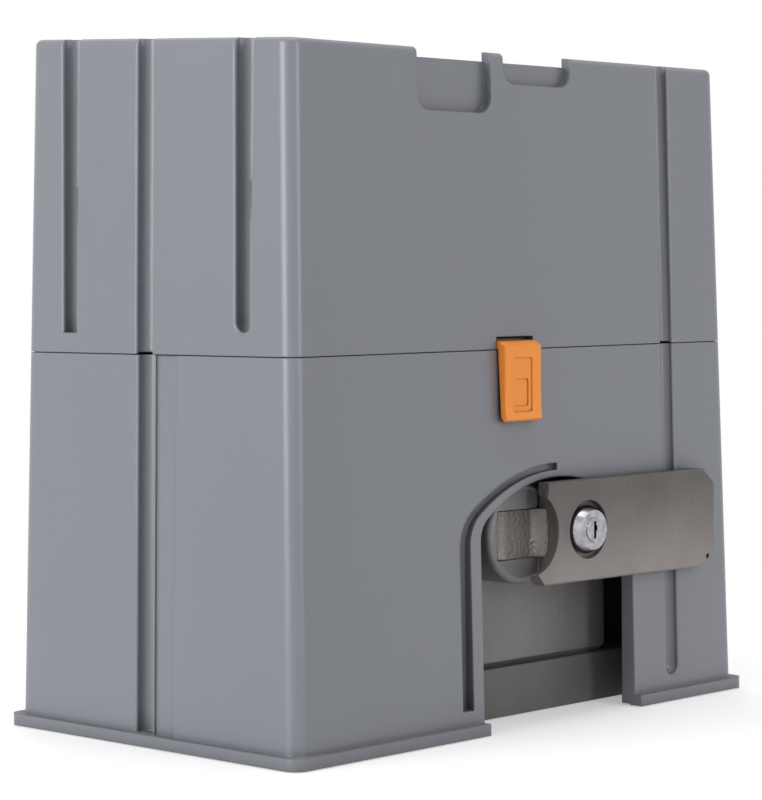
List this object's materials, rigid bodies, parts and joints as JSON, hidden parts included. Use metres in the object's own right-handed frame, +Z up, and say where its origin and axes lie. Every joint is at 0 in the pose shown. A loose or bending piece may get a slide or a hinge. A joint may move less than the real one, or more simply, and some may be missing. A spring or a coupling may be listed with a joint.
{
  "type": "sliding gate motor",
  "caption": "Geared motor that drives a sliding gate through a rear pinion, with a lift-off hood, side latches and a key-locked release lever over a bolted base.",
  "frame": {"origin": "centre of the four fixing slots, on the ground under the base", "axes": "+Z up; -Y is the front with the release lever; +Y is the gate side with the pinion; X along the base"},
  "size_m": [0.298, 0.2137, 0.2988],
  "materials": {
    "cover_grey": "fine moulded grain",
    "latch_orange": "satin moulded",
    "base_black": "moulded",
    "die_casting": "as cast",
    "lever_casting": "satin grey over a casting",
    "steel": "turned or zinc plated",
    "chrome": "polished",
    "bronze": "machined",
    "electrical_iron": "stacked laminations",
    "copper": "varnished wire",
    "coil_tape": "taped winding",
    "rubber": "moulded",
    "board_green": "lacquered board",
    "black_plastic": "moulded",
    "cowl_steel": "satin black",
    "terminal_grey": "moulded",
    "button_white": "moulded",
    "capacitor_white": "moulded can"
  },
  "bodies": {
    "base": {"base_frame": "base_black", "board_bracket": "base_black", "board_screws": "steel", "button_body": "black_plastic", "capacitor": "capacitor_white", "capacitor_clip": "steel", "case_bolts": "steel", "case_cover": "die_casting", "control_board": "board_green", "control_chip": "black_plastic", "cover_screws": "steel", "end_bell": "die_casting", "fan_cowl": "cowl_steel", "front_bearing": "steel", "gear_case": "die_casting", "lever_hinge_pin": "steel", "limit_sensor": "black_plastic", "lock_keeper": "steel", "motor_bolts": "steel", "motor_housing": "die_casting", "motor_top_bearing": "steel", "oil_plug": "black_plastic", "rear_bearing": "steel", "relays": "black_plastic", "rim_seal": "rubber", "shaft_seal": "rubber", "skirt": "cover_grey", "skirt_screws": "steel", "stator_core": "electrical_iron", "stator_winding": "copper", "terminal_blocks": "terminal_grey", "transformer_coil": "coil_tape", "transformer_core": "electrical_iron", "worm_foot_bearing": "steel", "worm_head_bearing": "steel"},
    "hood": {"hood": "cover_grey", "front_latch_pin": "steel", "rear_latch_pin": "steel"},
    "front_latch": {"front_latch": "latch_orange"},
    "rear_latch": {"rear_latch": "latch_orange"},
    "lever": {"lever": "lever_casting", "lock_body": "chrome", "lock_nut": "steel"},
    "key": {"key_cylinder": "chrome", "lock_cam": "steel"},
    "release": {"release_rod": "steel"},
    "output": {"output_shaft": "steel", "wheel_hub": "steel", "wheel_rim": "bronze", "pinion": "steel", "pinion_key": "steel", "pinion_washer": "steel", "pinion_bolt": "steel", "clutch_spring": "steel"},
    "clutch": {"clutch_sleeve": "steel", "clutch_pin": "steel"},
    "rotor": {"worm_shaft": "steel", "rotor_core": "electrical_iron", "cooling_fan": "black_plastic"},
    "button": {"program_button": "button_white"}
  },
  "joints": [
    {"name": "hood_lift", "type": "slide", "parent": "base", "child": "hood", "axis": [0, 0, 1], "range_m": [0, 0.15]},
    {"name": "front_latch_hinge", "type": "hinge", "parent": "hood", "child": "front_latch", "pos_m": [-0.0078, -0.0813, 0.1662], "axis": [-1, 0, 0], "range_deg": [0, 35]},
    {"name": "rear_latch_hinge", "type": "hinge", "parent": "hood", "child": "rear_latch", "pos_m": [0.0078, 0.0813, 0.1662], "axis": [1, 0, 0], "range_deg": [0, 35]},
    {"name": "lever_swing", "type": "hinge", "parent": "base", "child": "lever", "pos_m": [-0.01, -0.074, 0.083], "axis": [0, 0, -1], "range_deg": [0, 85]},
    {"name": "key_turn", "type": "hinge", "parent": "lever", "child": "key", "pos_m": [0.03, -0.085, 0.0834], "axis": [0, 1, 0], "range_deg": [0, 90]},
    {"name": "release_slide", "type": "slide", "parent": "base", "child": "release", "axis": [0, 1, 0], "range_m": [0, 0.0036]},
    {"name": "output_spin", "type": "hinge", "parent": "base", "child": "output", "pos_m": [0, 0, 0.083], "axis": [0, 1, 0], "continuous": true},
    {"name": "clutch_slide", "type": "slide", "parent": "output", "child": "clutch", "axis": [0, 1, 0], "range_m": [0, 0.0036]},
    {"name": "worm_spin", "type": "hinge", "parent": "base", "child": "rotor", "pos_m": [0.05, 0, 0.15], "axis": [0, 0, 1], "continuous": true},
    {"name": "button_press", "type": "slide", "parent": "base", "child": "button", "axis": [1, 0, 0], "range_m": [0, 0.0012], "stiffness_N_per_m": 300}
  ],
  "couplings": [
    {"joint": "release_slide", "follows": "lever_swing", "m_per_rad": 0.0022918},
    {"joint": "clutch_slide", "follows": "lever_swing", "m_per_rad": 0.0022918},
    {"joint": "worm_spin", "follows": "output_spin", "ratio": 30}
  ]
}
